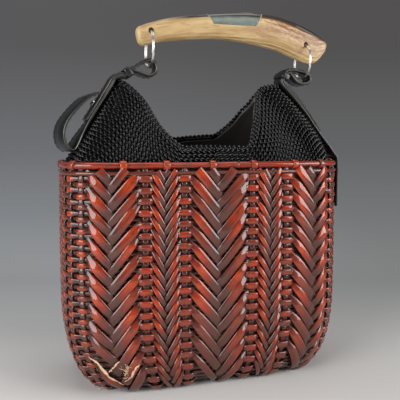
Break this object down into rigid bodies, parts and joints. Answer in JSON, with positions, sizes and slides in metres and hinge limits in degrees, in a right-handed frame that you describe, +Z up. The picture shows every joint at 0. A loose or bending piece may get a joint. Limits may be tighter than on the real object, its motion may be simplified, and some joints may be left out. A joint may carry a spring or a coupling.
{
  "type": "woven cane handbag with a corded yoke, leather straps and an antler grip",
  "caption": "Upright woven cane handbag with rounded corners, a black corded yoke with two peaked ears, leather straps, split rings and a swinging antler grip.",
  "frame": {"origin": "middle of the basket's flat base, on the floor", "axes": "+X along the bag's long side towards the end with the hanging strap tab, -Y out of its front, +Z up"},
  "size_m": [0.2761, 0.1286, 0.3457],
  "materials": {
    "cane": "glossy red-brown dyed and varnished cane, dark in its hollows",
    "cord": "black twisted waxed cord, slightly shiny",
    "lining_cloth": "smooth dark brown-black lining cloth",
    "leather": "smooth glossy black leather with worn edges",
    "steel": "plated steel wire, slightly worn",
    "antler": "polished natural antler, cream with brown grain and dark bark along its top",
    "stone": "polished grey-green stone"
  },
  "bodies": {
    "bag": {"basket": "cane", "rim_band": "cane", "rim_core": "cane", "yoke": "cord", "lining": "lining_cloth", "strap_left": "leather", "strap_right": "leather", "keeper_left": "leather", "keeper_right": "leather", "rivet_left": "steel", "rivet_right": "steel", "rim_wrap_01": "cane", "rim_wrap_02": "cane", "rim_wrap_03": "cane", "rim_wrap_04": "cane", "rim_wrap_05": "cane", "rim_wrap_06": "cane", "rim_wrap_07": "cane", "rim_wrap_08": "cane", "rim_wrap_09": "cane", "rim_wrap_10": "cane", "rim_wrap_11": "cane", "rim_wrap_12": "cane", "rim_wrap_13": "cane", "rim_wrap_14": "cane", "rim_wrap_15": "cane", "rim_wrap_16": "cane"},
    "grip": {"handle": "antler", "inlay": "stone", "ring_left": "steel", "ring_right": "steel"}
  },
  "joints": [
    {"name": "handle_swing", "type": "hinge", "parent": "bag", "child": "grip", "pos_m": [-0.0484, 0, 0.3066], "axis": [0.9996, 0, -0.029], "range_deg": [-90, 90]}
  ]
}
